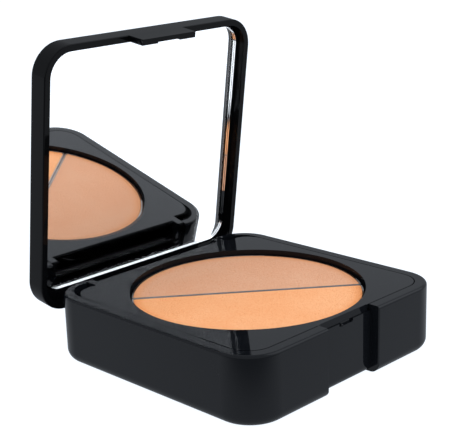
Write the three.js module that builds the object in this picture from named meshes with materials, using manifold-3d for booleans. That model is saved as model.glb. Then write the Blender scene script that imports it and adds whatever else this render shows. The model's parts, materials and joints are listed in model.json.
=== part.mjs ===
// Square two-level powder compact with a mirrored lid, drawn in millimetres.
// +X is right, -Y is the front (thumb notch), +Y is the back (hinge), +Z is up.
// The origin is the centre of the underside, and the lid is drawn standing open.
import * as THREE from 'three';
import { mergeVertices } from 'three/addons/utils/BufferGeometryUtils.js';
import Module from 'manifold-3d';

const wasm = await Module();
wasm.setup();

// Base shell
const BODY = 72; // width and depth of base and lid
const BASE_H = 17.8;
const BASE_CORNER_R = 9.8;
const BASE_FOOT_R = 2.8; // rounding round the underside
const BASE_RIM_R = 0.8; // rounding round the rim
const FLOOR_T = 1.8;
const CAVITY_HALF = 32.4; // left, right and front inner walls
const CAVITY_BACK = 33.75;
const CAVITY_CORNER_R = 6.3;
const REBATE_HALF = 32.9; // the wider step that the tray lies in
const REBATE_CORNER_R = 6.6;
const REBATE_Z = 16.2;

// Thumb notch in the front wall, and the catch recess in it
const NOTCH_W = 19;
const NOTCH_DEPTH = 2.6;
const NOTCH_FOOT_R = 2.2;
const LEDGE_Z = 16.25; // the wall ends here under the tray's lip
const CATCH_W = 5.2;
const CATCH_H = 0.75;
const CATCH_CORNER_R = 0.3;
const CATCH_DEPTH = 0.6;
const NUB_R = 0.5;
const NUB_X = -1.5;

// Hinge: one axis for the lid and the tray
const HINGE_Y = 33.3;
const HINGE_Z = 11.7;
const LID_OPEN = THREE.MathUtils.degToRad(81.7);
const KNUCKLE_R = 1.7;
const PIN_R = 0.8;
const PIN_BORE_R = 0.85;
const PIN_INNER_X = 17;
const PIN_OUTER_X = 29;
const BARREL_HALF = 22.3; // half length of the lid's knuckle
const EAR_INNER_X = 22.6; // the tray's two ears
const EAR_OUTER_X = 24.7;
const LUG_INNER_X = 25; // the base's two lugs
const LUG_OUTER_X = 29.5;
const LUG_FRONT_Y = 31.3;
const LUG_TOP_Z = 13.6;
const RECESS_HALF = 24.9; // cut-out in the back wall
const RECESS_FLOOR_Z = 5.6;
const SCREEN_FRONT_Y = 30.65; // low wall that closes the compartment behind
const SCREEN_TOP_Z = 10.2;

// Tray with its round well
const TRAY_HALF = 32.65;
const TRAY_T = 1.5;
const LIP_W = 17.4;
const LIP_TOP_SETBACK = 0.2;
const LIP_REACH = 0.25;
const TRAY_CORNER_R = 6.45;
const TRAY_BACK = 32.3;
const TRAY_CUT_BACK = 30.4; // back corners are cut to swing over the rim
const TRAY_CUT_RX = 4.75;
const TRAY_CUT_RY = 6;
const TRAY_SWING_R = 6.75; // the cut corners stay outside this radius of the hinge
const EAR_BACK_Y = 34.7;
const EAR_FRONT_Y = 31.6;
const WELL_Y = -0.77;
const WELL_R = 30.4;
const WELL_WALL = 0.8;
const WELL_FLOOR_Z = 12.4;
const WELL_FLOOR_T = 1;

// Pans and powders
const SPLIT_ANGLE = THREE.MathUtils.degToRad(-40);
const PAN_R = 29.9;
const PAN_WALL = 0.35;
const PAN_H = 3.72;
const PAN_GAP = 0.3; // between the two straight sides
const PAN_CORNER_R = 0.8;
const GLUE_T = 0.2;
const GLUE_INSET = 2;
const POWDER_PLAY = 0.05;
const POWDER_TOP = 16.3;
const POWDER_EDGE_R = 0.25;

// Lid
const LID_GAP = 0.3; // closed gap between lid and base
const LID_T = 6;
const LID_CORNER_R = 8.4;
const LID_CAVITY_CORNER_R = 6.4;
const SILL_FRONT_Y = 31.4; // a rail between the mirror and the hinge
const SILL_EDGE_Z = 20.3;
const LID_TOP_R = 1.2;
const LID_EDGE_R = 0.3;
const LID_WALL = 1.8;
const LID_ROOF_T = 1.75;
const TAB_W = 18.6;
const TAB_LENGTH = 5.2; // below the lid's edge
const TAB_T = 1.6;
const TAB_ROOT_H = 1.6; // overlap with the front wall
const TAB_CHANNEL_W = 7.7;
const TAB_CHANNEL_DEPTH = 0.35;
const BEAD_H = 0.6;
const BEAD_W = 4.6;
const BEAD_DEPTH = 0.5;
const WEB_FRONT_Y = 34;

// Mirror
const MIRROR_HALF = 33.4;
const MIRROR_BACK_Y = 31.1;
const MIRROR_CORNER_R = 5.6;
const MIRROR_T = 1.1;
const COATING_T = 0.1;
const LAYER_GAP = 0.03;
const TAPE_T = 0.4;
const TAPE_INSET = 2.4;

// Label under the base
const LABEL_R = 24;
const LABEL_T = 0.15;
const LABEL_RECESS = 0.2;

const CORNER_STEPS = 7;
const ROUND_STEPS = 64;
const PIN_STEPS = 24;
const FOOT_STEPS = 4;
const CUT = 60; // a length longer than the whole part

const HALF = BODY / 2;
const NOTCH_BACK_Y = -HALF + NOTCH_DEPTH;
const TRAY_UNDER_Z = BASE_H - TRAY_T;
const LID_EDGE_Z = BASE_H + LID_GAP;
const LID_TOP_Z = LID_EDGE_Z + LID_T;
const LID_CAVITY_TOP_Z = LID_TOP_Z - LID_ROOF_T;

// ---- solids and booleans ----

function solid(geometry) {
  const bare = geometry.clone();
  bare.deleteAttribute('normal');
  bare.deleteAttribute('uv');
  const merged = mergeVertices(bare, 1e-5);
  return new wasm.Manifold(new wasm.Mesh({
    numProp: 3,
    vertProperties: new Float32Array(merged.attributes.position.array),
    triVerts: new Uint32Array(merged.index.array),
  }));
}

function geometryOf(manifold) {
  const mesh = manifold.getMesh();
  const geometry = new THREE.BufferGeometry();
  geometry.setAttribute('position', new THREE.BufferAttribute(mesh.vertProperties, 3));
  geometry.setIndex(new THREE.BufferAttribute(mesh.triVerts, 1));
  geometry.computeVertexNormals();
  return geometry;
}

function box(x0, x1, y0, y1, z0, z1) {
  const geometry = new THREE.BoxGeometry(x1 - x0, y1 - y0, z1 - z0);
  geometry.translate((x0 + x1) / 2, (y0 + y1) / 2, (z0 + z1) / 2);
  return solid(geometry);
}

// A cylinder standing on z0.
function disc(radius, z0, z1, y = 0, steps = ROUND_STEPS) {
  const geometry = new THREE.CylinderGeometry(radius, radius, z1 - z0, steps);
  geometry.rotateX(Math.PI / 2);
  geometry.translate(0, y, (z0 + z1) / 2);
  return solid(geometry);
}

// A cylinder along the hinge axis.
function axle(radius, x0, x1, steps = PIN_STEPS) {
  const geometry = new THREE.CylinderGeometry(radius, radius, x1 - x0, steps);
  geometry.rotateZ(Math.PI / 2);
  geometry.translate((x0 + x1) / 2, HINGE_Y, HINGE_Z);
  return solid(geometry);
}

function roundedShape(x0, x1, y0, y1, r) {
  const shape = new THREE.Shape();
  shape.absarc(x1 - r, y1 - r, r, 0, Math.PI / 2, false);
  shape.absarc(x0 + r, y1 - r, r, Math.PI / 2, Math.PI, false);
  shape.absarc(x0 + r, y0 + r, r, Math.PI, 1.5 * Math.PI, false);
  shape.absarc(x1 - r, y0 + r, r, 1.5 * Math.PI, 2 * Math.PI, false);
  shape.closePath();
  return shape;
}

// An upright extrusion from z0 to z1, with both ends rounded by edge.
function prism(shape, z0, z1, edge = 0, edgeSteps = 3) {
  const geometry = new THREE.ExtrudeGeometry(shape, {
    depth: z1 - z0 - 2 * edge,
    curveSegments: CORNER_STEPS,
    bevelEnabled: edge > 0,
    bevelThickness: edge,
    bevelSize: edge,
    bevelOffset: -edge,
    bevelSegments: edgeSteps,
  });
  geometry.translate(0, 0, z0 + edge);
  return solid(geometry);
}

// A rounded square body whose lower and upper edges have different roundings.
function roundedBody(cornerR, z0, z1, lowerR, upperR) {
  const shape = roundedShape(-HALF, HALF, -HALF, HALF, cornerR);
  const lower = prism(shape, z0, z1 + CUT, lowerR, FOOT_STEPS);
  const upper = prism(shape, z0 - CUT, z1, upperR, 2);
  return lower.intersect(upper);
}

// A profile drawn as (y, z) and extruded along X from x0 to x1.
function alongX(shape, x0, x1) {
  const geometry = new THREE.ExtrudeGeometry(shape, {
    depth: x1 - x0,
    curveSegments: CORNER_STEPS,
    bevelEnabled: false,
  });
  geometry.rotateY(Math.PI / 2);
  geometry.rotateX(Math.PI / 2);
  geometry.translate(x0, 0, 0);
  return solid(geometry);
}

function profile(points) {
  return new THREE.Shape(points.map(([y, z]) => new THREE.Vector2(y, z)));
}

// Calls make(side) for the right and the left side and joins both to a solid.
function addBothSides(body, make) {
  return body.add(make(1)).add(make(-1));
}

function sideSpan(side, inner, outer) {
  return side > 0 ? [inner, outer] : [-outer, -inner];
}

// ---- base ----

function thumbNotch() {
  const front = -HALF - 1;
  const half = NOTCH_W / 2;
  const foot = new THREE.Shape();
  foot.moveTo(front, -1);
  foot.lineTo(NOTCH_BACK_Y + NOTCH_FOOT_R, -1);
  foot.lineTo(NOTCH_BACK_Y + NOTCH_FOOT_R, 0);
  foot.absarc(NOTCH_BACK_Y + NOTCH_FOOT_R, NOTCH_FOOT_R, NOTCH_FOOT_R, 1.5 * Math.PI, Math.PI, true);
  foot.lineTo(front, NOTCH_FOOT_R);
  foot.closePath();
  const wall = box(-half, half, front, NOTCH_BACK_Y, NOTCH_FOOT_R - 0.5, CUT);
  const overLedge = box(-half, half, front, -CAVITY_HALF + 1, LEDGE_Z, CUT);
  return alongX(foot, -half, half).add(wall).add(overLedge);
}

function catchRecess() {
  const side = CATCH_W / 2;
  const low = LEDGE_Z - CATCH_H;
  const r = CATCH_CORNER_R;
  const shape = new THREE.Shape();
  shape.absarc(-side + r, low + r, r, Math.PI, 1.5 * Math.PI, false);
  shape.absarc(side - r, low + r, r, 1.5 * Math.PI, 2 * Math.PI, false);
  shape.lineTo(side, LEDGE_Z + 1);
  shape.lineTo(-side, LEDGE_Z + 1);
  shape.closePath();
  const depth = CATCH_DEPTH + 1;
  const geometry = new THREE.ExtrudeGeometry(shape, { depth, curveSegments: 10, bevelEnabled: false });
  geometry.rotateX(Math.PI / 2);
  geometry.translate(0, NOTCH_BACK_Y + CATCH_DEPTH, 0);
  return solid(geometry);
}

function catchNub() {
  const geometry = new THREE.SphereGeometry(NUB_R, 10, 6);
  geometry.translate(NUB_X, NOTCH_BACK_Y + NUB_R / 2, LEDGE_Z - CATCH_H);
  return solid(geometry);
}

function baseShell() {
  const cavity = roundedShape(-CAVITY_HALF, CAVITY_HALF, -CAVITY_HALF, CAVITY_BACK, CAVITY_CORNER_R);
  let body = roundedBody(BASE_CORNER_R, 0, BASE_H, BASE_FOOT_R, BASE_RIM_R);
  const rebate = roundedShape(-REBATE_HALF, REBATE_HALF, -REBATE_HALF, CAVITY_BACK, REBATE_CORNER_R);
  body = body.subtract(prism(cavity, FLOOR_T, CUT)).subtract(prism(rebate, REBATE_Z, CUT));
  body = addBothSides(body, (side) => {
    const [x0, x1] = sideSpan(side, LUG_INNER_X, LUG_OUTER_X);
    return box(x0, x1, LUG_FRONT_Y, CAVITY_BACK + 1, FLOOR_T - 0.5, LUG_TOP_Z);
  });
  const screenBack = LUG_FRONT_Y + 0.01;
  body = body.add(box(-LUG_OUTER_X, LUG_OUTER_X, SCREEN_FRONT_Y, screenBack, FLOOR_T - 0.5, SCREEN_TOP_Z));
  body = body.subtract(box(-RECESS_HALF, RECESS_HALF, LUG_FRONT_Y, HALF + 1, RECESS_FLOOR_Z, CUT));
  body = body.subtract(thumbNotch()).subtract(catchRecess()).add(catchNub());
  body = body.subtract(axle(PIN_BORE_R, -LUG_OUTER_X - 0.5, LUG_OUTER_X + 0.5));
  return body.subtract(disc(LABEL_R + 0.3, -1, LABEL_RECESS));
}

function label() {
  return disc(LABEL_R, 0, LABEL_T);
}

function hingePin(side) {
  const [x0, x1] = sideSpan(side, PIN_INNER_X, PIN_OUTER_X);
  return axle(PIN_R, x0, x1);
}

// ---- tray ----

function trayOutline() {
  const front = -TRAY_HALF;
  const r = TRAY_CORNER_R;
  const shape = new THREE.Shape();
  shape.absarc(-TRAY_HALF + r, front + r, r, Math.PI, 1.5 * Math.PI, false);
  shape.absarc(TRAY_HALF - r, front + r, r, 1.5 * Math.PI, 2 * Math.PI, false);
  const cutX = TRAY_HALF - TRAY_CUT_RX;
  const cutY = TRAY_CUT_BACK - TRAY_CUT_RY;
  shape.absellipse(cutX, cutY, TRAY_CUT_RX, TRAY_CUT_RY, 0, Math.PI / 2, false);
  for (const [x, y] of [
    [EAR_OUTER_X, TRAY_CUT_BACK],
    [EAR_OUTER_X, TRAY_BACK],
    [-EAR_OUTER_X, TRAY_BACK],
    [-EAR_OUTER_X, TRAY_CUT_BACK],
  ]) shape.lineTo(x, y);
  shape.absellipse(-cutX, cutY, TRAY_CUT_RX, TRAY_CUT_RY, Math.PI / 2, Math.PI, false);
  shape.closePath();
  return shape;
}

function trayEar(side) {
  const [x0, x1] = sideSpan(side, EAR_INNER_X, EAR_OUTER_X);
  const arm = profile([
    [TRAY_CUT_BACK - 1, TRAY_UNDER_Z],
    [EAR_FRONT_Y, HINGE_Z],
    [HINGE_Y + KNUCKLE_R, HINGE_Z],
    [EAR_BACK_Y, BASE_H],
    [TRAY_CUT_BACK - 1, BASE_H],
  ]);
  return alongX(arm, x0, x1).add(axle(KNUCKLE_R, x0, x1));
}

// The sloping lip that a fingernail lifts, over the notch.
function trayLip() {
  const section = profile([
    [-TRAY_HALF + 0.5, TRAY_UNDER_Z],
    [-TRAY_HALF + 0.5, BASE_H],
    [-TRAY_HALF + LIP_TOP_SETBACK, BASE_H],
    [-TRAY_HALF - LIP_REACH, TRAY_UNDER_Z],
  ]);
  return alongX(section, -LIP_W / 2, LIP_W / 2);
}

function tray() {
  const wellUnder = WELL_FLOOR_Z - WELL_FLOOR_T;
  const lipSpace = box(-LIP_W / 2, LIP_W / 2, -HALF, -TRAY_HALF + 0.4, 0, CUT);
  let body = prism(trayOutline(), TRAY_UNDER_Z, BASE_H).subtract(lipSpace).add(trayLip());
  body = body.add(disc(WELL_R + WELL_WALL, wellUnder, TRAY_UNDER_Z + 0.5, WELL_Y));
  for (const side of [1, -1]) {
    const [x0, x1] = sideSpan(side, EAR_OUTER_X, TRAY_HALF + 1);
    body = body.subtract(axle(TRAY_SWING_R, x0, x1, ROUND_STEPS));
  }
  body = addBothSides(body, trayEar);
  body = body.subtract(disc(WELL_R, WELL_FLOOR_Z, CUT, WELL_Y));
  return body.subtract(axle(PIN_BORE_R, -EAR_OUTER_X - 1, EAR_OUTER_X + 1));
}

// ---- pans and powders ----

// Half a disc on the +Y side of the split, inset from the pan's outer faces.
function halfDisc(inset) {
  const radius = PAN_R - inset;
  const chord = PAN_GAP / 2 + inset;
  const r = PAN_CORNER_R;
  const cornerX = Math.sqrt((radius - r) ** 2 - (chord + r) ** 2);
  const tilt = Math.atan2(chord + r, cornerX);
  const shape = new THREE.Shape();
  shape.absarc(cornerX, chord + r, r, -Math.PI / 2, tilt, false);
  const arcSteps = 28;
  for (let i = 1; i < arcSteps; i += 1) {
    const angle = tilt + (i / arcSteps) * (Math.PI - 2 * tilt);
    shape.lineTo(radius * Math.cos(angle), radius * Math.sin(angle));
  }
  shape.absarc(-cornerX, chord + r, r, Math.PI - tilt, 1.5 * Math.PI, false);
  shape.closePath();
  return shape;
}

// Turns a piece drawn on the +Y side to its place in the well.
function inWell(body, half) {
  const turn = THREE.MathUtils.radToDeg(SPLIT_ANGLE) + (half === 'back' ? 0 : 180);
  return body.rotate([0, 0, turn]).translate([0, WELL_Y, 0]);
}

function pan(half) {
  const z0 = WELL_FLOOR_Z + GLUE_T;
  const outer = prism(halfDisc(0), z0, z0 + PAN_H);
  const inner = prism(halfDisc(PAN_WALL), z0 + PAN_WALL, z0 + PAN_H + 1);
  return inWell(outer.subtract(inner), half);
}

function powder(half) {
  const z0 = WELL_FLOOR_Z + GLUE_T + PAN_WALL;
  const shape = halfDisc(PAN_WALL + POWDER_PLAY);
  const rounded = prism(shape, z0 - 2, POWDER_TOP, POWDER_EDGE_R, 2);
  return inWell(rounded.subtract(box(-CUT, CUT, -CUT, CUT, z0 - 3, z0)), half);
}

function panGlue(half) {
  return inWell(prism(halfDisc(GLUE_INSET), WELL_FLOOR_Z, WELL_FLOOR_Z + GLUE_T), half);
}

// ---- lid, drawn closed ----

function lidTab() {
  const low = LID_EDGE_Z - TAB_LENGTH;
  const half = TAB_W / 2;
  const inner = -HALF + TAB_T;
  const plate = box(-half, half, -HALF, inner, low, LID_EDGE_Z + TAB_ROOT_H);
  const channelHalf = TAB_CHANNEL_W / 2;
  const channel = box(-channelHalf, channelHalf, inner - TAB_CHANNEL_DEPTH, inner + 1, low - 1, CUT);
  const beadZ = LEDGE_Z - 0.2;
  const beadY = inner - TAB_CHANNEL_DEPTH;
  const bead = box(-BEAD_W / 2, BEAD_W / 2, beadY - 0.1, beadY + BEAD_DEPTH, beadZ - BEAD_H, beadZ);
  return plate.subtract(channel).add(bead);
}

function lidShell() {
  const inner = HALF - LID_WALL;
  const cavity = roundedShape(-inner, inner, -inner, inner, LID_CAVITY_CORNER_R);
  const mirrorBed = roundedShape(-inner, inner, -inner, SILL_FRONT_Y, LID_CAVITY_CORNER_R);
  let body = roundedBody(LID_CORNER_R, LID_EDGE_Z, LID_TOP_Z, LID_EDGE_R, LID_TOP_R);
  body = body.subtract(prism(cavity, LID_EDGE_Z - 1, SILL_EDGE_Z));
  body = body.subtract(prism(mirrorBed, LID_EDGE_Z - 1, LID_CAVITY_TOP_Z));
  const web = profile([
    [WEB_FRONT_Y, LID_EDGE_Z + 1],
    [WEB_FRONT_Y, HINGE_Z],
    [HINGE_Y, HINGE_Z - KNUCKLE_R],
    [HALF - 0.8, HINGE_Z - KNUCKLE_R + 0.4],
    [HALF, HINGE_Z],
    [HALF, LID_EDGE_Z + 1],
  ]);
  body = body.add(alongX(web, -BARREL_HALF, BARREL_HALF));
  body = body.add(axle(KNUCKLE_R, -BARREL_HALF, BARREL_HALF));
  body = body.subtract(sideBore(1)).subtract(sideBore(-1));
  return body.add(lidTab());
}

function sideBore(side) {
  const [x0, x1] = sideSpan(side, PIN_INNER_X - 0.5, BARREL_HALF + 1);
  return axle(PIN_BORE_R, x0, x1);
}

function mirrorLayer(inset, topZ, thickness) {
  const half = MIRROR_HALF - inset;
  const outline = roundedShape(-half, half, -half, MIRROR_BACK_Y - inset, MIRROR_CORNER_R);
  return prism(outline, topZ - thickness, topZ);
}

// ---- scene graph ----

const FINISHES = {
  shell: { color: 0x1b1c20, roughness: 0.22, metalness: 0 },
  label: { color: 0x2a2a2c, roughness: 0.6, metalness: 0 },
  steel: { color: 0xb9bcc0, roughness: 0.3, metalness: 1 },
  aluminium: { color: 0xcfcfcd, roughness: 0.35, metalness: 1 },
  glue: { color: 0xd8d2c0, roughness: 0.8, metalness: 0 },
  tan: { color: 0xd6aa86, roughness: 0.95, metalness: 0 },
  apricot: { color: 0xf6b985, roughness: 0.95, metalness: 0 },
  glass: { color: 0xf2f6f5, roughness: 0.02, metalness: 0 },
  silver: { color: 0xe6e8ea, roughness: 0.05, metalness: 1 },
  tape: { color: 0x3a3a3c, roughness: 0.9, metalness: 0 },
};

function piece(name, body, finish) {
  const mesh = new THREE.Mesh(geometryOf(body), new THREE.MeshStandardMaterial(FINISHES[finish]));
  mesh.name = name;
  return mesh;
}

function lidGroup() {
  const coatingTop = LID_CAVITY_TOP_Z - TAPE_T - 2 * LAYER_GAP;
  const glassTop = coatingTop - COATING_T - LAYER_GAP;
  const tapeTop = LID_CAVITY_TOP_Z - LAYER_GAP;
  const pieces = [
    ['lid_shell', lidShell(), 'shell'],
    ['mirror_tape', mirrorLayer(TAPE_INSET, tapeTop, TAPE_T), 'tape'],
    ['mirror_silvering', mirrorLayer(0, coatingTop, COATING_T), 'silver'],
    ['mirror_glass', mirrorLayer(0, glassTop, MIRROR_T), 'glass'],
  ];
  const lid = new THREE.Group();
  for (const [name, body, finish] of pieces) {
    lid.add(piece(name, body.translate([0, -HINGE_Y, -HINGE_Z]), finish));
  }
  lid.position.set(0, HINGE_Y, HINGE_Z);
  lid.rotation.x = -LID_OPEN;
  return lid;
}

const group = new THREE.Group();
group.add(piece('base_shell', baseShell(), 'shell'));
group.add(piece('base_label', label(), 'label'));
group.add(piece('hinge_pin_right', hingePin(1), 'steel'));
group.add(piece('hinge_pin_left', hingePin(-1), 'steel'));
group.add(piece('powder_tray', tray(), 'shell'));
for (const [half, shade] of [['back', 'tan'], ['front', 'apricot']]) {
  group.add(piece(`${half}_pan`, pan(half), 'aluminium'));
  group.add(piece(`${half}_pan_glue`, panGlue(half), 'glue'));
  group.add(piece(`${half}_powder`, powder(half), shade));
}
group.add(lidGroup());

export default group;
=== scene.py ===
"""Looks of a square two-level powder compact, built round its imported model.

Everything is in metres. The base, the tray and the lid turn on one hidden rear
hinge. The lid is modelled closed and is then turned open about that hinge.
"""

import json
import logging
import math
from contextlib import contextmanager
from dataclasses import dataclass
from enum import Enum
from typing import Any, Callable, ClassVar, Iterator, Sequence, Union

import bmesh
import bpy
from mathutils import Matrix, Vector


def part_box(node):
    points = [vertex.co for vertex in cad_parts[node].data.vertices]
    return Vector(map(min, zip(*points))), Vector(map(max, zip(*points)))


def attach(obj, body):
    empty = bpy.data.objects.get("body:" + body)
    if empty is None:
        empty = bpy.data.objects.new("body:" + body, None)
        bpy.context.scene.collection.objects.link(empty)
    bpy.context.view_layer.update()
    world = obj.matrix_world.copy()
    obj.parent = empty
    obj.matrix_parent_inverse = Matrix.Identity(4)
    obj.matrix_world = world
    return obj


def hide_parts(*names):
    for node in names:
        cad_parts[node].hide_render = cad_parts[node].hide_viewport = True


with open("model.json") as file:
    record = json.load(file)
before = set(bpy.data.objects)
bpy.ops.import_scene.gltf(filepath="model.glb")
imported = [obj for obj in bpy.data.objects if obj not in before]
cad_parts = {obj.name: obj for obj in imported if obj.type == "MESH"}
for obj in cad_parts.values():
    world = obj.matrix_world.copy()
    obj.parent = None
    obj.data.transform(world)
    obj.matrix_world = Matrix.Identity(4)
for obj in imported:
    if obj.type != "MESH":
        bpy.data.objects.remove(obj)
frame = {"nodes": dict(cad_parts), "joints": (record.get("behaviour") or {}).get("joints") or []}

LOG = logging.getLogger("compact")
TINY = 1e-6
PAST = 0.001  # how far a cutter reaches past the face that it cuts
FAR = 0.01  # how far it reaches where nothing stands in its way
SINK = 0.0005  # how deep a joined piece stands in the one that it grows from
BITE = 0.0001  # the same for a thin piece
HAIR = 0.00001  # keeps a joined piece's face off its neighbour's
Number = Union[int, float]
Rgb = tuple[float, float, float]
Point = Sequence[float]


class Axis(Enum):
    """A direction of the frame, with the turn that lays a cylinder along it."""

    X = (0.0, math.pi / 2, 0.0)
    Z = (0.0, 0.0, 0.0)


class Element(Enum):
    """What edit mode selects."""

    EDGE = "EDGE"
    FACE = "FACE"


class Joining(Enum):
    """How one solid is joined to another."""

    ADD = "UNION"
    CUT = "DIFFERENCE"


class Half(Enum):
    """Which half-disc of the round well a piece fills, with its turn in degrees."""

    BACK = 0.0
    FRONT = 180.0

    @property
    def word(self) -> str:
        """The half's name, as the nodes use it."""
        return self.name.lower()


# ---------------------------------------------------------------- modelling


def deselect() -> None:
    """Clears the selection, which loading the frame leaves full."""
    bpy.ops.object.select_all(action="DESELECT")


def near(a: float, b: float, play: float = 1e-5) -> bool:
    """Whether two coordinates are the same to a hundredth of a millimetre."""
    return abs(a - b) < play


def upright(a: Vector, b: Vector) -> bool:
    """Whether an edge stands parallel to the vertical axis."""
    return near(a.x, b.x) and near(a.y, b.y)


def level(z: float) -> Callable[[Vector, Vector], bool]:
    """A test for edges that lie at height z.

    Args:
        z: the height.

    Returns:
        The test, which takes the edge's two ends.
    """
    return lambda a, b: near(a.z, z) and near(b.z, z)


class Part:
    """A mesh on the bench: a primitive that operators cut, join and round."""

    def __init__(self, obj: bpy.types.Object) -> None:
        """Takes over an object."""
        self.obj = obj

    @classmethod
    def _adopt(cls, name: str) -> "Part":
        """Names the new primitive and moves its place into its mesh."""
        obj = bpy.context.active_object
        obj.name = name
        obj.data.name = name
        bpy.ops.object.transform_apply(location=True, rotation=True, scale=True)
        return cls(obj)

    @classmethod
    def block(cls, name: str, low: Point, high: Point) -> "Part":
        """A box.

        Args:
            name: the object's name.
            low: its lowest corner.
            high: its highest corner.

        Returns:
            The new part.
        """
        deselect()
        middle = [(a + b) / 2 for a, b in zip(low, high)]
        size = [b - a for a, b in zip(low, high)]
        bpy.ops.mesh.primitive_cube_add(size=1, location=middle, scale=size)
        return cls._adopt(name)

    @classmethod
    def rod(
        cls, name: str, radius: float, start: Point, length: float, axis: Axis = Axis.Z, sides: int = 128
    ) -> "Part":
        """A cylinder.

        Args:
            name: the object's name.
            radius: its radius.
            start: the centre of its lowest end.
            length: how far it reaches along the axis.
            axis: which way it lies.
            sides: how many flats stand for its round side.

        Returns:
            The new part.
        """
        deselect()
        middle = Vector(start)
        middle["XYZ".index(axis.name)] += length / 2
        bpy.ops.mesh.primitive_cylinder_add(
            vertices=sides, radius=radius, depth=length, location=middle, rotation=axis.value
        )
        return cls._adopt(name)

    @classmethod
    def ball(cls, name: str, radius: float, centre: Point) -> "Part":
        """A sphere of the given radius about a centre."""
        deselect()
        bpy.ops.mesh.primitive_uv_sphere_add(segments=20, ring_count=12, radius=radius, location=centre)
        return cls._adopt(name)

    @contextmanager
    def editing(self, element: Element) -> Iterator[bmesh.types.BMesh]:
        """Edit mode on this part alone, with nothing selected.

        Args:
            element: what is going to be selected.

        Yields:
            The edit mesh.
        """
        deselect()
        self.obj.select_set(True)
        bpy.context.view_layer.objects.active = self.obj
        bpy.ops.object.mode_set(mode="EDIT")
        bpy.ops.mesh.select_mode(type=element.value)
        bpy.ops.mesh.select_all(action="DESELECT")
        yield bmesh.from_edit_mesh(self.obj.data)
        bpy.ops.object.mode_set(mode="OBJECT")

    def _pick(self, mesh: bmesh.types.BMesh, elements: Any, test: Callable[[Any], bool]) -> None:
        """Selects the elements that pass a test."""
        for element in elements:
            element.select_set(test(element))
        mesh.select_flush_mode()
        bmesh.update_edit_mesh(self.obj.data)

    def round_edges(self, test: Callable[[Vector, Vector], bool], radius: float, steps: int) -> "Part":
        """Bevels edges to a round.

        Args:
            test: takes an edge's two ends and says whether it is rounded.
            radius: the round's radius.
            steps: how many facets the round has.

        Returns:
            The part itself.
        """
        with self.editing(Element.EDGE) as mesh:
            self._pick(mesh, mesh.edges, lambda e: test(e.verts[0].co, e.verts[1].co))
            bpy.ops.mesh.bevel(offset=radius, segments=steps, profile=0.5, affect="EDGES")
        return self

    def extrude(self, test: Callable[[Vector, Vector], bool], move: Point) -> "Part":
        """Pulls faces out.

        Args:
            test: takes a face's centre and normal and says whether it is pulled.
            move: how far and which way.

        Returns:
            The part itself.
        """
        with self.editing(Element.FACE) as mesh:
            self._pick(mesh, mesh.faces, lambda f: test(f.calc_center_median(), f.normal))
            bpy.ops.mesh.extrude_region_move(TRANSFORM_OT_translate={"value": tuple(move)})
        return self

    def inset(self, test: Callable[[Vector, Vector], bool], width: float) -> "Part":
        """Insets faces, picked by their centre and normal, by a width."""
        with self.editing(Element.FACE) as mesh:
            self._pick(mesh, mesh.faces, lambda f: test(f.calc_center_median(), f.normal))
            bpy.ops.mesh.inset(thickness=width)
        return self

    def slice(self, point: Point, normal: Point, drop_outer: bool = False) -> "Part":
        """Cuts the mesh along a plane.

        Args:
            point: a point on the plane.
            normal: the plane's normal.
            drop_outer: whether what lies on the normal's side is removed and the cut closed.

        Returns:
            The part itself.
        """
        with self.editing(Element.FACE):
            bpy.ops.mesh.select_all(action="SELECT")
            bpy.ops.mesh.bisect(
                plane_co=tuple(point),
                plane_no=tuple(normal),
                clear_outer=drop_outer,
                use_fill=drop_outer,
                threshold=TINY,
            )
        return self

    def turn(self, angle: float, axis: Axis, centre: Point) -> "Part":
        """Turns the whole mesh by the right-hand rule about an axis through a centre."""
        with self.editing(Element.FACE):
            bpy.ops.mesh.select_all(action="SELECT")
            bpy.ops.transform.rotate(value=-angle, orient_axis=axis.name, center_override=tuple(centre))
        return self

    def stretch(self, scale: Point, centre: Point) -> "Part":
        """Stretches the whole mesh about a centre."""
        with self.editing(Element.FACE):
            bpy.ops.mesh.select_all(action="SELECT")
            bpy.ops.transform.resize(value=tuple(scale), center_override=tuple(centre))
        return self

    def modify(self, kind: str, **settings: Any) -> "Part":
        """Adds a modifier and applies it.

        Args:
            kind: the modifier's type.
            **settings: its settings, by their own names.

        Returns:
            The part itself.
        """
        deselect()
        self.obj.select_set(True)
        bpy.context.view_layer.objects.active = self.obj
        modifier = self.obj.modifiers.new(kind.title(), kind)
        for key, value in settings.items():
            setattr(modifier, key, value)
        bpy.ops.object.modifier_apply(modifier=modifier.name)
        return self

    def combine(self, other: "Part", how: Joining) -> "Part":
        """Joins another part to this one, or cuts it out, and uses it up."""
        self.modify("BOOLEAN", operation=how.value, solver="EXACT", object=other.obj)
        bpy.data.objects.remove(other.obj, do_unlink=True)
        return self

    def cut(self, other: "Part") -> "Part":
        """Cuts another part out of this one."""
        return self.combine(other, Joining.CUT)

    def add(self, other: "Part") -> "Part":
        """Joins another part to this one."""
        return self.combine(other, Joining.ADD)

    def soften(self, width: float, steps: int = 2, angle: float = 40.0) -> "Part":
        """Rounds every edge that is sharper than an angle in degrees."""
        return self.modify(
            "BEVEL",
            width=width,
            segments=steps,
            limit_method="ANGLE",
            angle_limit=math.radians(angle),
            use_clamp_overlap=True,
            miter_outer="MITER_ARC",
        )

    def smooth(self, angle: float = 32.0) -> "Part":
        """Shades rounds smooth and keeps flats flat."""
        deselect()
        self.obj.select_set(True)
        bpy.context.view_layer.objects.active = self.obj
        bpy.ops.object.shade_smooth_by_angle(angle=math.radians(angle))
        return self.modify("WEIGHTED_NORMAL", keep_sharp=True, weight=60)


def rounded_block(name: str, low: Point, high: Point, corner: float, steps: int = 16) -> Part:
    """A box with rounded upright edges.

    Args:
        name: the object's name.
        low: its lowest corner.
        high: its highest corner.
        corner: the radius of the upright edges.
        steps: how many facets each round has.

    Returns:
        The new part.
    """
    return Part.block(name, low, high).round_edges(upright, corner, steps)


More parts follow.
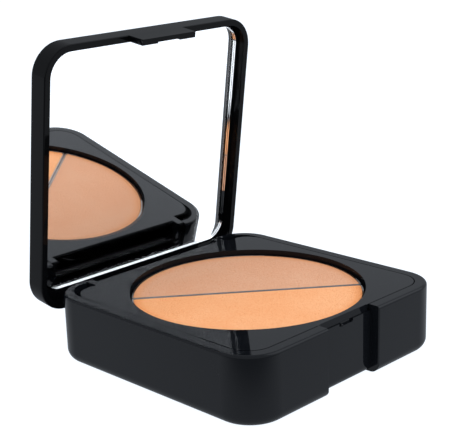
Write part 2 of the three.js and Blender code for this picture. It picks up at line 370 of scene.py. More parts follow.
# ---------------------------------------------------------------- shading


@dataclass(frozen=True)
class Wire:
    """A socket in a shader expression: arithmetic on it adds Math nodes."""

    graph: "Graph"
    socket: bpy.types.NodeSocket

    def __add__(self, other: "Value") -> "Wire":
        """Sum."""
        return self.graph.math("ADD", self, other)

    __radd__ = __add__

    def __sub__(self, other: "Value") -> "Wire":
        """Difference."""
        return self.graph.math("SUBTRACT", self, other)

    def __rsub__(self, other: "Value") -> "Wire":
        """Difference, taken from a number."""
        return self.graph.math("SUBTRACT", other, self)

    def __mul__(self, other: "Value") -> "Wire":
        """Product."""
        return self.graph.math("MULTIPLY", self, other)

    __rmul__ = __mul__

    def __abs__(self) -> "Wire":
        """Size without sign."""
        return self.graph.math("ABSOLUTE", self)

    def ramp(self, low: float, high: float) -> "Wire":
        """Rises from 0 at low to 1 at high, smoothly, and stays inside 0 to 1."""
        node = self.graph.node(
            "ShaderNodeMapRange",
            {"interpolation_type": "SMOOTHSTEP"},
            {"Value": self, "From Min": low, "From Max": high, "To Min": 0.0, "To Max": 1.0},
        )
        return Wire(self.graph, node.outputs["Result"])


Value = Union[Number, Wire]


class Graph:
    """A node tree that expressions are written into."""

    def __init__(self, owner: bpy.types.Material | bpy.types.World) -> None:
        """Takes over and empties the owner's node tree."""
        owner.use_nodes = True
        self.owner = owner
        self.tree = owner.node_tree
        self.tree.nodes.clear()

    def node(
        self, kind: str, settings: dict[str, Any] | None = None, inputs: dict[Any, Any] | None = None
    ) -> bpy.types.Node:
        """Adds a node.

        Args:
            kind: the node's type.
            settings: its own settings, which are set first.
            inputs: values or links of its sockets, by name or index.

        Returns:
            The new node.
        """
        node = self.tree.nodes.new(kind)
        for key, value in (settings or {}).items():
            setattr(node, key, value)
        for key, value in (inputs or {}).items():
            self.feed(node.inputs[key], value)
        return node

    def feed(self, socket: bpy.types.NodeSocket, value: Any) -> None:
        """Links a wire or an output to a socket, or sets the socket's own value."""
        source = value.socket if isinstance(value, Wire) else value
        if isinstance(source, bpy.types.NodeSocket):
            self.tree.links.new(source, socket)
        elif isinstance(source, tuple) and len(source) == 3 and len(socket.default_value) == 4:
            socket.default_value = (*source, 1.0)
        else:
            socket.default_value = source

    def math(self, operation: str, *values: Value) -> Wire:
        """A Math node on one or two values."""
        node = self.node("ShaderNodeMath", {"operation": operation}, dict(enumerate(values)))
        return Wire(self, node.outputs[0])

    def blend(self, mask: Value, first: Any, second: Any) -> Wire:
        """Goes from the first colour to the second as the mask goes from 0 to 1."""
        node = self.node("ShaderNodeMix", {"data_type": "RGBA"}, {0: mask, 6: first, 7: second})
        return Wire(self, node.outputs[2])

    def place(
        self, scale: Point = (1.0, 1.0, 1.0), turn: Point = (0.0, 0.0, 0.0), shift: Point = (0, 0, 0)
    ) -> Wire:
        """The piece's own coordinates in metres, moved, turned and stretched."""
        source = self.node("ShaderNodeTexCoord").outputs["Object"]
        node = self.node(
            "ShaderNodeMapping",
            {},
            {"Vector": source, "Location": tuple(shift), "Rotation": tuple(turn), "Scale": tuple(scale)},
        )
        return Wire(self, node.outputs["Vector"])

    def noise(self, size: float, where: Wire | None = None, detail: float = 2.0, rough: float = 0.5) -> Wire:
        """Cloudy noise.

        Args:
            size: the size of its largest lumps, in metres.
            where: the coordinates it is laid on, or the piece's own.
            detail: how many finer layers it has.
            rough: how strong the finer layers are.

        Returns:
            The noise, about 0.5 on average.
        """
        inputs = {"Vector": where or self.place(), "Scale": 1 / size, "Detail": detail, "Roughness": rough}
        return Wire(self, self.node("ShaderNodeTexNoise", {}, inputs).outputs[0])

    def grains(self, size: float, where: Wire | None = None) -> Wire:
        """Distance to the nearest of scattered points that are about a size apart."""
        inputs = {"Vector": where or self.place(), "Scale": 1 / size}
        return Wire(self, self.node("ShaderNodeTexVoronoi", {}, inputs).outputs["Distance"])

    def scratches(self, gap: float, length: float, angle: float, width: float) -> Wire:
        """Thin hairlines in one direction.

        Args:
            gap: the usual distance between two, in metres.
            length: how long they are, in metres.
            angle: their direction in degrees about the vertical axis.
            width: their width as a share of the gap.

        Returns:
            1 on a hairline and 0 elsewhere.
        """
        stretch = gap / length
        where = self.place((stretch, 1.0, 1.0), (0.3, 0.2, math.radians(angle)))
        line = abs(self.noise(gap, where, 1.0, 0.4) - 0.5)
        return 1 - line.ramp(0.0, width)


class Surface(Graph):
    """A material's node tree with a principled shader in it."""

    def __init__(self, name: str) -> None:
        """Makes a material of that name."""
        super().__init__(bpy.data.materials.new(name))
        self.shader = self.node("ShaderNodeBsdfPrincipled")
        self.end = self.node("ShaderNodeOutputMaterial", {}, {"Surface": self.shader.outputs["BSDF"]})

    def bump(self, height: Wire, depth: float) -> None:
        """Drives the shader's normal from a height map that is depth metres deep."""
        node = self.node("ShaderNodeBump", {}, {"Strength": 1.0, "Distance": depth, "Height": height})
        self.feed(self.shader.inputs["Normal"], node.outputs["Normal"])

    def set(self, **sockets: Any) -> None:
        """Feeds the principled shader's sockets, named with _ for spaces."""
        for key, value in sockets.items():
            self.feed(self.shader.inputs[key.replace("_", " ")], value)

    def mute(self, share: Value, colour: Any) -> None:
        """Takes away a share of the gloss, down to a plain matt colour."""
        matt = self.node("ShaderNodeBsdfDiffuse", {}, {"Color": colour})
        ends = {0: share, 1: self.shader.outputs["BSDF"], 2: matt.outputs["BSDF"]}
        self.feed(self.end.inputs["Surface"], self.node("ShaderNodeMixShader", {}, ends).outputs[0])


class Finish:
    """A surface finish that any piece can be dressed in."""

    name: str
    made: ClassVar[dict[str, bpy.types.Material]] = {}

    def material(self) -> bpy.types.Material:
        """The finish's material, made once."""
        if self.name not in Finish.made:
            graph = Surface(f"finish_{self.name}")
            self.paint(graph)
            Finish.made[self.name] = graph.owner
        return Finish.made[self.name]

    def paint(self, graph: Surface) -> None:
        """Fills the material's node tree."""
        raise NotImplementedError

    def dress(self, obj: bpy.types.Object) -> None:
        """Puts the finish on every face of an object."""
        obj.data.materials.clear()
        obj.data.materials.append(self.material())


@dataclass(frozen=True)
class GlossBlack(Finish):
    """Moulded black plastic with a smooth gloss, hairlines and a little dust."""

    name: str
    colour: Rgb = (0.004, 0.0045, 0.0057)
    dust_colour: Rgb = (0.04, 0.04, 0.042)
    roughness: float = 0.03
    smudge: float = 0.03
    hairline: float = 0.08
    dust: float = 0.9
    dullness: float = 0.76
    smear_size: float = 0.014
    handled_size: float = 0.02
    dust_gap: float = 0.0016
    dust_patch: float = 0.012
    grain_size: float = 0.0006
    relief: float = 0.000003

    def paint(self, graph: Surface) -> None:
        """Gloss with smudges, two directions of hairlines and sparse dust."""
        smear = graph.noise(self.smear_size, detail=3.0).ramp(0.42, 0.72)
        elsewhere = graph.place(shift=(0.4, 0.1, 0.7))
        handled = graph.noise(self.handled_size, elsewhere, 1.0).ramp(0.52, 0.7)
        lines = graph.scratches(0.0022, 0.03, 24.0, 0.006) + graph.scratches(0.003, 0.02, -62.0, 0.005)
        worn = lines * handled
        dusty = graph.noise(self.dust_patch).ramp(0.55, 0.75)
        specks = (1 - graph.grains(self.dust_gap).ramp(0.02, 0.075)) * dusty * self.dust
        tone = graph.blend(specks, self.colour, self.dust_colour)
        graph.set(
            Base_Color=tone,
            Roughness=self.roughness + smear * self.smudge + worn * self.hairline + specks * 0.4,
            IOR=1.5,
        )
        grain = graph.noise(self.grain_size, detail=2.0)
        graph.bump(grain * 0.04 - worn * 0.4 + specks, self.relief)
        graph.mute(self.dullness, tone)


@dataclass(frozen=True)
class PressedPowder(Finish):
    """Pressed make-up powder: matt, fine-grained and slightly mottled."""

    name: str
    colour: Rgb
    deep: Rgb
    pale: Rgb
    centre: Point
    radius: float
    cloud_size: float = 0.018
    grain_size: float = 0.00055
    pit_gap: float = 0.0011
    lump_size: float = 0.0035
    edge_width: float = 0.0035
    relief: float = 0.00013

    def paint(self, graph: Surface) -> None:
        """Mottled colour with pale and deep grains, and a deeper tone towards its edge."""
        cloud = graph.noise(self.cloud_size, detail=4.0).ramp(0.35, 0.68)
        fine = graph.noise(self.grain_size, detail=3.0, rough=0.75)
        pale = fine.ramp(0.5, 0.7) * 0.55 + cloud * 0.45
        pits = 1 - graph.grains(self.pit_gap).ramp(0.06, 0.26)
        deep = pits * 0.55 + fine.ramp(0.48, 0.34) * 0.3
        shifted = graph.place(shift=[-c for c in self.centre])
        flat = graph.node(
            "ShaderNodeVectorMath", {"operation": "MULTIPLY"}, {0: shifted, 1: (1.0, 1.0, 0.0)}
        ).outputs[0]
        far = graph.node("ShaderNodeVectorMath", {"operation": "LENGTH"}, {0: flat}).outputs["Value"]
        rim = Wire(graph, far).ramp(self.radius - self.edge_width, self.radius)
        tone = graph.blend(pale, self.colour, self.pale)
        tone = graph.blend(deep + rim * 0.75, tone, self.deep)
        graph.set(Base_Color=tone, Roughness=0.86 + fine * 0.14, Specular_IOR_Level=0.22)
        lumps = graph.noise(self.lump_size, detail=2.0)
        graph.bump(fine + lumps * 0.6 - deep * 0.8, self.relief)


@dataclass(frozen=True)
class Metal(Finish):
    """Bare metal with fine marks in one direction."""

    name: str
    colour: Rgb
    roughness: float
    mark_gap: float = 0.0003
    tone_size: float = 0.006
    relief: float = 0.000006

    def paint(self, graph: Surface) -> None:
        """Directional marks over a slow change of tone."""
        marks = graph.noise(self.mark_gap, graph.place((1.0, 0.08, 1.0)), 2.0)
        slow = graph.noise(self.tone_size)
        dull = tuple(c * 0.72 for c in self.colour)
        graph.set(
            Base_Color=graph.blend(slow.ramp(0.35, 0.75), self.colour, dull),
            Metallic=1.0,
            Roughness=self.roughness + marks * 0.12,
        )
        graph.bump(marks, self.relief)


@dataclass(frozen=True)
class ClearGlass(Finish):
    """Clear float glass with a few dust specks."""

    name: str
    colour: Rgb = (1.0, 1.0, 1.0)

    def paint(self, graph: Surface) -> None:
        """Clear, with specks that only dull the surface a little."""
        specks = 1 - graph.grains(0.004).ramp(0.01, 0.03)
        graph.set(
            Base_Color=graph.blend(specks * 0.3, self.colour, (0.9, 0.9, 0.88)),
            Roughness=specks * 0.2,
            Transmission_Weight=1.0,
            IOR=1.52,
        )


@dataclass(frozen=True)
class Silver(Finish):
    """The mirror's silver layer, as seen through its glass."""

    name: str
    colour: Rgb = (0.98, 0.98, 0.98)

    def paint(self, graph: Surface) -> None:
        """A clean mirror with a faint change of tone."""
        slow = graph.noise(0.02).ramp(0.3, 0.8)
        graph.set(
            Base_Color=graph.blend(slow, self.colour, tuple(c * 0.985 for c in self.colour)),
            Metallic=1.0,
            Roughness=slow * 0.002,
        )


@dataclass(frozen=True)
class Dull(Finish):
    """A matt finish with lumps: paper, foam tape or dried glue."""

    name: str
    colour: Rgb
    second: Rgb
    lump: float
    depth: float
    roughness: float = 0.8

    def paint(self, graph: Surface) -> None:
        """Two tones in lumps of one size, with the same lumps in the surface."""
        lumps = graph.noise(self.lump, detail=3.0, rough=0.6)
        graph.set(
            Base_Color=graph.blend(lumps.ramp(0.35, 0.7), self.colour, self.second),
            Roughness=self.roughness + lumps * 0.15,
        )
        graph.bump(lumps, self.depth)


# ---------------------------------------------------------------- the compact


@dataclass(frozen=True)
class Hinge:
    """The axis that the lid and the tray share, and how far the lid stands open."""

    y: float
    z: float
    open_angle: float

    @classmethod
    def packed(cls) -> "Hinge":
        """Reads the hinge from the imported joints."""
        joint = next(j for j in frame["joints"] if j["child"] == "lid")
        _, y, z = joint["pos_m"]
        return cls(y, z, math.radians(-min(joint["range_deg"])))

    def rod(self, name: str, radius: float, start: float, end: float, sides: int = 48) -> Part:
        """A cylinder on the hinge axis from x = start to x = end."""
        return Part.rod(name, radius, (start, self.y, self.z), end - start, Axis.X, sides)


def span(side: int, inner: float, outer: float) -> tuple[float, float]:
    """The x range from inner to outer on the right (1) or left (-1) side."""
    return (inner, outer) if side > 0 else (-outer, -inner)


@dataclass
class SubAssembly:
    """A sub-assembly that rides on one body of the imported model."""

    hinge: Hinge
    body: str = ""

    def settle(self, part: Part, node: str, slot: str, finish: Finish) -> bpy.types.Object:
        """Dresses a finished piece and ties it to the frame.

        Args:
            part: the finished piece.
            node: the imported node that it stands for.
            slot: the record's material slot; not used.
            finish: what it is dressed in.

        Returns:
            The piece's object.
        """
        finish.dress(part.obj)
        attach(part.obj, self.body)
        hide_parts(node)
        LOG.info("%s: %d faces, in place of %s", part.obj.name, len(part.obj.data.polygons), node)
        return part.obj

    def keep(self, node: str, finish: Finish) -> None:
        """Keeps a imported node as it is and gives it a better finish."""
        finish.dress(frame["nodes"][node])
        LOG.info("%s: kept, dressed in %s", node, finish.name)


@dataclass
class Base(SubAssembly):
    """The deep lower shell with its thumb notch, catch, lugs, pins and label."""

    body: str = "base"
    corner: float = 0.0098
    foot: float = 0.0028
    rim: float = 0.0008
    floor: float = 0.0018
    inner_half: float = 0.0324
    inner_back: float = 0.03375
    inner_corner: float = 0.0063
    rebate_half: float = 0.0329
    rebate_corner: float = 0.0066
    rebate_z: float = 0.0162
    notch_half: float = 0.0095
    notch_depth: float = 0.0026
    notch_foot: float = 0.0022
    ledge_z: float = 0.01625
    notch_edge: float = 0.00045
    catch_half: float = 0.0026
    catch_depth: float = 0.0006
    catch_drop: float = 0.00075
    catch_corner: float = 0.0003
    nub: float = 0.0005
    nub_x: float = -0.0015
    recess_half: float = 0.0249
    recess_floor: float = 0.0056
    lug_inner: float = 0.025
    lug_outer: float = 0.0295
    lug_front: float = 0.0313
    lug_top: float = 0.0136
    screen_front: float = 0.03065
    screen_top: float = 0.0095
    bore: float = 0.00085
    label: float = 0.0243
    label_recess: float = 0.0002
    edge: float = 0.0001

    def build(self) -> None:
        """Builds the shell and dresses it, its pins and its label."""
        self.low, self.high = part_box("base_shell")
        shell = self.outer()
        self.hollow(shell)
        self.cut_hinge_recess(shell)
        self.cut_notch(shell)
        self.cut_catch(shell)
        shell.cut(Part.rod("label_recess", self.label, (0, 0, -PAST), PAST + self.label_recess, sides=96))
        shell.soften(self.edge).smooth()
        self.settle(shell, "base_shell", "shell_black", GlossBlack("shell_black"))
        steel = Metal("hinge_steel", (0.5, 0.5, 0.51), 0.25)
        for side in ("right", "left"):
            self.keep(f"hinge_pin_{side}", steel)
        paper = Dull("label_paper", (0.02, 0.02, 0.022), (0.03, 0.03, 0.032), 0.0004, 1e-5, 0.55)
        self.keep("base_label", paper)

    def outer(self) -> Part:
        """The outer body, round at its corners, foot and rim."""
        body = rounded_block("compact_base", self.low, self.high, self.corner, 20)
        body.round_edges(level(self.low.z), self.foot, 9)
        return body.round_edges(level(self.high.z), self.rim, 5)

    def hollow(self, shell: Part) -> None:
        """Opens the compartment and sets the hinge lugs and the low screen in it."""
        low = (-self.inner_half, -self.inner_half, self.floor)
        high = (self.inner_half, self.inner_back, self.high.z + FAR)
        shell.cut(rounded_block("cavity", low, high, self.inner_corner))
        low = (-self.rebate_half, -self.rebate_half, self.rebate_z)
        high = (self.rebate_half, self.inner_back, self.high.z + FAR)
        shell.cut(rounded_block("rebate", low, high, self.rebate_corner))
        for side in (1, -1):
            x0, x1 = span(side, self.lug_inner, self.lug_outer)
            low = (x0, self.lug_front, self.floor - SINK)
            shell.add(Part.block("lug", low, (x1, self.inner_back + SINK, self.lug_top)))
        low = (-self.lug_outer + 2 * BITE, self.screen_front, self.floor - SINK)
        high = (self.lug_outer - 2 * BITE, self.lug_front + BITE, self.screen_top)
        shell.add(Part.block("screen", low, high))

    def cut_hinge_recess(self, shell: Part) -> None:
        """Opens the back wall for the knuckles, and bores the lugs for the pins."""
        low = (-self.recess_half, self.lug_front, self.recess_floor)
        shell.cut(Part.block("recess", low, (self.recess_half, self.high.y + PAST, self.high.z + FAR)))
        end = self.lug_outer + SINK
        shell.cut(self.hinge.rod("bore", self.bore, -end, end, 32))

    def cut_notch(self, shell: Part) -> None:
        """Cuts the thumb notch, whose back wall curls in to the foot."""
        wall = self.low.y + self.notch_depth
        half = self.notch_half
        above = self.high.z + FAR
        notch = Part.block("notch", (-half, self.low.y - FAR, -FAR), (half, wall, above))
        shell.cut(notch)
        low = (-half, self.low.y - FAR, self.ledge_z)
        shell.cut(Part.block("over_ledge", low, (half, -self.inner_half + PAST, above)))
        high = (half, wall + self.notch_foot, self.notch_foot)
        foot = Part.block("foot", (-half, wall - PAST, -0.5 * FAR), high)
        round_ = Part.rod(
            "foot_round",
            self.notch_foot,
            (-half - PAST, wall + self.notch_foot, self.notch_foot),
            2 * half + 2 * PAST,
            Axis.X,
            64,
        )
        shell.cut(foot.cut(round_))
        r = self.notch_edge
        for side in (1, -1):
            x0, x1 = span(side, half - BITE, half + r)
            flare = Part.block("flare", (x0, self.low.y - PAST, -PAST), (x1, self.low.y + r, above))
            start = (side * (half + r), self.low.y + r, -2 * PAST)
            flare.cut(Part.rod("flare_round", r, start, above + 4 * PAST, sides=48))
            shell.cut(flare)

    def cut_catch(self, shell: Part) -> None:
        """Cuts the shallow catch recess under the ledge and leaves a nub in it."""
        wall = self.low.y + self.notch_depth
        half = self.catch_half
        bottom = self.ledge_z - self.catch_drop
        high = (half, wall + self.catch_depth, self.ledge_z + PAST)
        slot = Part.block("catch", (-half, wall - PAST, bottom), high)
        slot.round_edges(
            lambda a, b: near(a.x, b.x) and near(a.z, bottom) and near(b.z, bottom), self.catch_corner, 4
        )
        shell.cut(slot)
        centre = (self.nub_x, wall + self.nub / 2, bottom)
        shell.add(Part.ball("nub", self.nub, centre))


@dataclass
class Tray(SubAssembly):
    """The glossy middle deck with its round well, two pans and two powders."""

    body: str = "tray"
    thickness: float = 0.0015
    corner: float = 0.00645
    cut_x: float = 0.00475
    cut_y: float = 0.006
    cut_back: float = 0.0304
    back: float = 0.0323
    half: float = 0.03265
    lip_half: float = 0.0087
    lip_setback: float = 0.0002
    lip_reach: float = 0.00025
    lip_root: float = 0.0004
    ear_inner: float = 0.0226
    ear_outer: float = 0.0247
    ear_back: float = 0.0347
    ear_front: float = 0.0316
    arm_sink: float = 0.0006
    swing: float = 0.00675
    knuckle: float = 0.0017
    bore: float = 0.00085
    well_y: float = -0.00077
    well: float = 0.0304
    well_wall: float = 0.0008
    well_floor: float = 0.0124
    well_floor_thickness: float = 0.001
    edge: float = 0.00004
    split_angle: float = math.radians(-40)
    pan: float = 0.0299
    pan_wall: float = 0.00035
    pan_edge: float = 0.0001
    pan_gap: float = 0.0003
    pan_corner: float = 0.0008
    powder_edge: float = 0.00025
    play: float = 0.00005
    pick_inner: float = 0.005
    pick_play: float = 0.001

    def build(self) -> None:
        """Builds the deck, then a pan and a powder in each half of its well."""
        low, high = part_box("powder_tray")
        self.top = high.z
        self.under = high.z - self.thickness
        deck = self.deck()
        self.sink_well(deck)
        deck.soften(self.edge).smooth()
        gloss = GlossBlack("tray_black", dust=0.4, smudge=0.015, roughness=0.012, dullness=0.74)
        self.settle(deck, "powder_tray", "tray_black", gloss)
        # Darker than bare aluminium: partly the pans' own dull metal, partly painted shade so that the thin
        # line between the two pans reads dark.
        metal = Metal("pan_aluminium", (0.26, 0.25, 0.24), 0.4)
        glue = Dull("pan_glue", (0.5, 0.46, 0.36), (0.62, 0.58, 0.48), 0.002, 1e-4, 0.4)
        for half in Half:
            self.settle(self.make_pan(half), f"{half.word}_pan", "pan_aluminium", metal)
            self.settle(self.make_powder(half), f"{half.word}_powder", self.slot(half), self.powder(half))
            self.keep(f"{half.word}_pan_glue", glue)

    def deck(self) -> Part:
        """The plate, pulled out backwards into its two hinge ears."""
        low = (-self.half, -self.half, self.under)
        plate = Part.block("compact_tray", low, (self.half, self.cut_back, self.top))
        for x in (-self.ear_outer, -self.ear_inner, self.ear_inner, self.ear_outer):
            plate.slice((x, 0, 0), (1, 0, 0))
        front = -self.half
        plate.round_edges(
            lambda a, b: upright(a, b) and near(abs(a.x), self.half) and near(a.y, front), self.corner, 14
        )
        plate.extrude(
            lambda c, n: n.y > 0.99 and near(c.y, self.cut_back) and abs(c.x) < self.ear_outer,
            (0, self.back - self.cut_back, 0),
        )
        plate.extrude(
            lambda c, n: n.y > 0.99 and near(c.y, self.back) and abs(c.x) > self.ear_inner,
            (0, self.ear_back - self.back, 0),
        )
        for side in (1, -1):
            self.trim_corner(plate, side)
            x0, x1 = span(side, self.ear_outer, self.half + PAST)
            plate.cut(self.hinge.rod("swing", self.swing, x0, x1, 128))
            x0, x1 = span(side, self.ear_inner, self.ear_outer)
            low = (x0 + HAIR, self.ear_front, self.hinge.z)
            arm = Part.block("ear_arm", low, (x1 - HAIR, self.ear_back - HAIR, self.under + self.arm_sink))
            arm.add(self.hinge.rod("ear_knuckle", self.knuckle, x0 + HAIR, x1 - HAIR))
            plate.add(arm)
        self.shape_lip(plate)
        plate.cut(self.hinge.rod("ear_bore", self.bore, -self.ear_outer - PAST, self.ear_outer + PAST, 32))
        return plate

    def trim_corner(self, plate: Part, side: int) -> None:
        """Cuts a back corner to an ellipse, on the right (1) or left (-1) side."""
        x = side * (self.half - self.cut_x)
        y = self.cut_back - self.cut_y
        x0, x1 = span(side, self.half - self.cut_x, self.half + PAST)
        low = (x0, y, self.under - PAST)
        waste = Part.block("corner_waste", low, (x1, self.cut_back + PAST, self.top + PAST))
        oval = Part.rod("corner_oval", self.cut_x, (x, y, self.under - 2 * PAST), 5 * PAST, sides=96)
        waste.cut(oval.stretch((1, self.cut_y / self.cut_x, 1), (x, y, 0)))
        plate.cut(waste)

    def shape_lip(self, plate: Part) -> None:
        """Gives the plate the sloping lip that a fingernail lifts."""
        half = self.lip_half
        inner = -self.half + self.lip_root
        plate.cut(Part.block("lip_space", (-half, -self.half - PAST, 0), (half, inner, self.top + PAST)))
        low = (-half, -self.half - self.lip_reach, self.under)
        lip = Part.block("lip", low, (half, inner + BITE, self.top))
        slope = Vector((0, self.under - self.top, self.lip_reach + self.lip_setback))
        lip.slice((0, low[1], low[2]), slope.normalized(), drop_outer=True)
        plate.add(lip)

    def sink_well(self, deck: Part) -> None:
        """Hangs the round well under the plate and opens it."""
        low = self.well_floor - self.well_floor_thickness
        outer = self.well + self.well_wall
        tub = Part.rod("well_tub", outer, (0, self.well_y, low), self.under + SINK - low, sides=160)
        deck.add(tub)
        deck.cut(Part.rod("well_space", self.well, (0, self.well_y, self.well_floor), 2 * FAR, sides=160))

    def half_disc(self, name: str, inset: float, z0: float, z1: float) -> Part:
        """A half-disc with rounded ends, in its place before it is turned.

        Args:
            name: the object's name.
            inset: how far it stands in from the pan's outer faces.
            z0: its lower face.
            z1: its upper face.

        Returns:
            The new part, on the +Y side of the split.
        """
        disc = Part.rod(name, self.pan - inset, (0, self.well_y, z0), z1 - z0, sides=160)
        chord = self.well_y + self.pan_gap / 2 + inset
        disc.slice((0, chord, 0), (0, -1, 0), drop_outer=True)
        return disc.round_edges(lambda a, b: upright(a, b) and near(a.y, chord), self.pan_corner, 6)

    def turned(self, part: Part, half: Half) -> Part:
        """Turns a half-disc piece to its place in the well."""
        angle = self.split_angle + math.radians(half.value)
        return part.turn(angle, Axis.Z, (0, self.well_y, 0))

    def make_pan(self, half: Half) -> Part:
        """A thin drawn pan for one half."""
        low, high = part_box(f"{half.word}_pan")
        pan = self.half_disc(f"compact_{half.word}_pan", 0.0, low.z, high.z)
        pan.inset(lambda c, n: n.z > 0.9, self.pan_wall)
        first = self.well_y + self.pick_inner
        last = self.well_y + self.pan - self.pan_wall - self.pick_play
        pan.extrude(
            lambda c, n: n.z > 0.9 and near(c.z, high.z) and first < c.y < last,
            (0, 0, low.z + self.pan_wall - high.z),
        )
        pan.soften(self.pan_edge)
        return self.turned(pan, half).smooth()

    def make_powder(self, half: Half) -> Part:
        """A pressed powder block with a soft upper edge."""
        low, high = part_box(f"{half.word}_powder")
        block = self.half_disc(f"compact_{half.word}_powder", self.pan_wall + self.play, low.z, high.z)
        block.round_edges(level(high.z), self.powder_edge, 4)
        return self.turned(block, half).smooth()

    def slot(self, half: Half) -> str:
        """The record's slot of one half's powder."""
        return "powder_tan" if half is Half.BACK else "powder_apricot"

    def powder(self, half: Half) -> PressedPowder:
        """The powder's finish for one half."""
        centre = (0.0, self.well_y, 0.0)
        radius = self.pan - self.pan_wall - self.play
        if half is Half.BACK:
            tones = (0.667, 0.324, 0.181), (0.70, 0.29, 0.12), (0.70, 0.38, 0.23)
        else:
            tones = (0.85, 0.362, 0.150), (0.84, 0.30, 0.09), (0.88, 0.43, 0.21)
        return PressedPowder(self.slot(half), *tones, centre, radius)


@dataclass
class Lid(SubAssembly):
    """The shallow lid with its tab, hinge knuckle and glass mirror."""

    body: str = "lid"
    base_top: float = 0.0178
    gap: float = 0.0003
    thickness: float = 0.006
    half: float = 0.036
    corner: float = 0.0084
    inner_corner: float = 0.0064
    sill_front: float = 0.0314
    sill_edge: float = 0.0203
    top_round: float = 0.0012
    edge_round: float = 0.0003
    wall: float = 0.0018
    roof: float = 0.00175
    tab_half: float = 0.0093
    tab_length: float = 0.0052
    tab_thickness: float = 0.0016
    tab_root: float = 0.0016
    channel_half: float = 0.00385
    channel_depth: float = 0.00035
    bead_half: float = 0.0023
    bead_height: float = 0.0006
    bead_depth: float = 0.0005
    bead_top: float = 0.01605
    web_front: float = 0.034
    web_back: float = 0.0355
    web_round: float = 0.0007
    web_rise: float = 0.0003
    barrel: float = 0.0223
    knuckle: float = 0.0017
    bore: float = 0.00085
    pin_inner: float = 0.0165
    mirror_half: float = 0.0334
    mirror_back: float = 0.0311
    mirror_corner: float = 0.0056
    glass: float = 0.0011
    glass_edge: float = 0.00012
    silver: float = 0.0001
    tape: float = 0.0004
    layer_gap: float = 0.00003
    edge: float = 0.00014

    def build(self) -> None:
        """Builds the lid and its mirror closed, and turns them open."""
        self.edge_z = self.base_top + self.gap
        self.top_z = self.edge_z + self.thickness
        self.roof_z = self.top_z - self.roof
        shell = self.shell()
        self.add_knuckle(shell)
        self.add_tab(shell)
        shell.soften(self.edge).smooth()
        self.open_up(shell)
        gloss = GlossBlack("lid_black", (0.002, 0.0021, 0.0024), dullness=0.855)
        self.settle(shell, "lid_shell", "lid_black", gloss)
        silver_top = self.roof_z - self.tape - 2 * self.layer_gap
        glass_top = silver_top - self.silver - self.layer_gap
        silver = self.layer("compact_mirror_silver", silver_top, self.silver)
        silvered = self.open_up(silver.smooth())
        self.settle(silvered, "mirror_silvering", "mirror_silver", Silver("mirror_silver"))
        pane = self.layer("compact_mirror_glass", glass_top, self.glass)
        pane.soften(self.glass_edge)
        self.settle(self.open_up(pane.smooth()), "mirror_glass", "mirror_pane", ClearGlass("mirror_pane"))
        self.keep("mirror_tape", Dull("mirror_tape", (0.03, 0.03, 0.032), (0.05, 0.05, 0.05), 0.0006, 4e-5))

    def open_up(self, part: Part) -> Part:
        """Turns a closed piece about the hinge to where the lid stands open."""
        return part.turn(-self.hinge.open_angle, Axis.X, (0, self.hinge.y, self.hinge.z))

    def shell(self) -> Part:
        """The lid's outer body with the space for the mirror."""
        low = (-self.half, -self.half, self.edge_z)
        body = rounded_block("compact_lid", low, (self.half, self.half, self.top_z), self.corner, 20)
        body.round_edges(level(self.top_z), self.top_round, 6)
        body.round_edges(level(self.edge_z), self.edge_round, 3)
        inner = self.half - self.wall
        low = (-inner, -inner, self.edge_z - PAST)
        body.cut(rounded_block("inner_space", low, (inner, inner, self.sill_edge), self.inner_corner))
        high = (inner, self.sill_front, self.roof_z)
        return body.cut(rounded_block("mirror_bed", low, high, self.inner_corner))

    def add_knuckle(self, shell: Part) -> None:
        """Adds the web and the hinge barrel, bored at both ends."""
        low = (-self.barrel, self.web_front, self.hinge.z - self.knuckle + self.web_rise)
        web = Part.block("web", low, (self.barrel, self.half - HAIR, self.edge_z + PAST))
        web.round_edges(lambda a, b: level(low[2])(a, b) and min(a.y, b.y) > self.web_back, self.web_round, 4)
        web.add(self.hinge.rod("barrel", self.knuckle, -self.barrel + 2 * HAIR, self.barrel - 2 * HAIR))
        for side in (1, -1):
            x0, x1 = span(side, self.pin_inner, self.barrel + PAST)
            web.cut(self.hinge.rod("barrel_bore", self.bore, x0, x1, 32))
        shell.add(web)

    def add_tab(self, shell: Part) -> None:
        """Adds the front tab that fills the thumb notch, with its catch bead."""
        low_z = self.edge_z - self.tab_length
        outer = -self.half
        inner = outer + self.tab_thickness
        root = self.edge_z + self.tab_root
        tab = Part.block("tab", (-self.tab_half, outer + HAIR, low_z), (self.tab_half, inner, root))
        low = (-self.channel_half, inner - self.channel_depth, low_z - PAST)
        tab.cut(Part.block("channel", low, (self.channel_half, inner + PAST, root + PAST)))
        low = (-self.bead_half, inner - self.channel_depth - BITE, self.bead_top - self.bead_height)
        high = (self.bead_half, inner - self.channel_depth + self.bead_depth, self.bead_top)
        tab.add(Part.block("bead", low, high))
        shell.add(tab)

    def layer(self, name: str, top: float, thickness: float) -> Part:
        """One flat layer of the mirror, still closed."""
        half = self.mirror_half
        low = (-half, -half, top - thickness)
        return rounded_block(name, low, (half, self.mirror_back, top), self.mirror_corner)


# ---------------------------------------------------------------- the studio


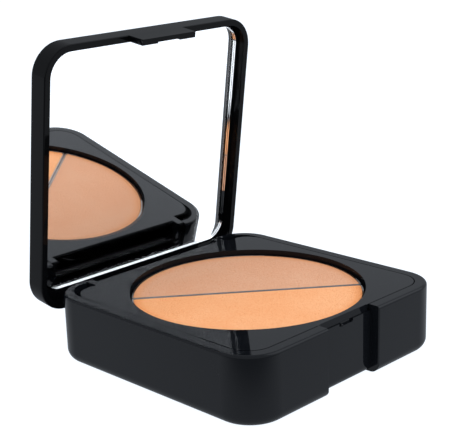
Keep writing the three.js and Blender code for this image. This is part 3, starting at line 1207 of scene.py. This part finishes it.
@dataclass(frozen=True)
class Studio:
    """A white floor, soft light from all round and the camera."""

    azimuth: float = math.radians(-44.982)
    elevation: float = math.radians(16.5)
    roll: float = math.radians(-1.894)
    distance: float = 0.30282
    aim_right: float = -0.004674
    aim_up: float = 0.03503
    lens: float = 95.27
    floor_half: float = 3.0
    floor_drop: float = 0.00005
    sky: float = 1.15
    sky_colour: Rgb = (0.94, 1.0, 1.08)
    softbox: float = 1.8
    softbox_way: Rgb = (0.6, -0.45, 0.66)
    floor_seen: float = 1.02
    # floor_glow and dark_start to darkening only change what reflections see of the floor: painted light and
    # painted shade.
    floor_glow: float = 1.25
    floor_matt: Rgb = (0.1, 0.1, 0.1)
    dark_start: float = 0.07
    dark_end: float = 0.125
    darkening: float = 0.75
    box_rim: float = 0.84
    box_core: float = 0.95

    def build(self) -> None:
        """Sets up floor, light and camera."""
        self.lay_floor()
        self.light()
        self.aim_camera()
        bpy.context.scene.view_settings.view_transform = "Standard"

    def lay_floor(self) -> None:
        """A white floor that glows, so that it takes next to no shadow. Reflections see painted light on it,
        brighter than the camera sees, and a painted shade on the side towards the camera.
        """
        deselect()
        bpy.ops.mesh.primitive_plane_add(size=2 * self.floor_half, location=(0, 0, -self.floor_drop))
        floor = bpy.context.active_object
        floor.name = "floor"
        graph = Graph(bpy.data.materials.new("floor"))
        path = graph.node("ShaderNodeLightPath").outputs
        seen = Wire(graph, path["Is Camera Ray"])
        clear = graph.math("MAXIMUM", seen, Wire(graph, path["Is Transmission Ray"]))
        where = graph.node("ShaderNodeTexCoord").outputs["Object"]
        axes = graph.node("ShaderNodeSeparateXYZ", {}, {"Vector": where}).outputs
        toward = Wire(graph, axes["X"]) + Wire(graph, axes["Y"])
        # Painted shade: reflections see the floor darken towards the camera, so the walls nearest the camera
        # reflect darker. The camera and rays through the glass see none of it.
        shade = 1 - (toward * -1).ramp(self.dark_start, self.dark_end) * self.darkening
        # Painted light: reflections see the floor glow at floor_glow, brighter than the floor_seen that the
        # camera sees.
        glow = seen * (self.floor_seen - self.floor_glow) + self.floor_glow
        strength = glow * graph.math("MAXIMUM", shade, clear)
        emission = graph.node("ShaderNodeEmission", {}, {"Color": self.sky_colour, "Strength": strength})
        matt = graph.node("ShaderNodeBsdfDiffuse", {}, {"Color": self.floor_matt})
        both = graph.node("ShaderNodeAddShader", {}, {0: emission.outputs[0], 1: matt.outputs[0]})
        graph.node("ShaderNodeOutputMaterial", {}, {"Surface": both.outputs[0]})
        floor.data.materials.append(graph.owner)

    def light(self) -> None:
        """Even white light from all round, with one large soft box."""
        world = bpy.data.worlds.new("studio")
        bpy.context.scene.world = world
        graph = Graph(world)
        way = graph.node("ShaderNodeTexCoord").outputs["Generated"]
        inputs = {0: way, 1: Vector(self.softbox_way).normalized()}
        facing = graph.node("ShaderNodeVectorMath", {"operation": "DOT_PRODUCT"}, inputs)
        box = Wire(graph, facing.outputs["Value"]).ramp(self.box_rim, self.box_core)
        inputs = {"Color": self.sky_colour, "Strength": box * self.softbox + self.sky}
        back = graph.node("ShaderNodeBackground", {}, inputs)
        graph.node("ShaderNodeOutputWorld", {}, {"Surface": back.outputs[0]})

    def aim_camera(self) -> None:
        """Stands the camera at its place and rolls it a little."""
        azimuth, elevation = self.azimuth, self.elevation
        level_back = math.cos(elevation)
        back = Vector(
            (math.sin(azimuth) * level_back, -math.cos(azimuth) * level_back, math.sin(elevation))
        )
        right = Vector((math.cos(azimuth), math.sin(azimuth), 0))
        up = back.cross(right)
        place = right * self.aim_right + Vector((0, 0, self.aim_up)) + back * self.distance
        across = right * math.cos(self.roll) + up * math.sin(self.roll)
        over = up * math.cos(self.roll) - right * math.sin(self.roll)
        data = bpy.data.cameras.new("camera")
        data.lens = self.lens
        camera = bpy.data.objects.new("camera", data)
        bpy.context.scene.collection.objects.link(camera)
        camera.matrix_world = Matrix.Translation(place) @ Matrix((across, over, back)).transposed().to_4x4()
        bpy.context.scene.camera = camera


def main() -> None:
    """Builds the studio and the compact."""
    logging.basicConfig(level=logging.INFO, format="%(name)s: %(message)s")
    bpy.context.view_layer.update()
    Studio().build()
    hinge = Hinge.packed()
    for assembly in (Base(hinge), Tray(hinge), Lid(hinge)):
        assembly.build()


if __name__ == "__main__":
    main()
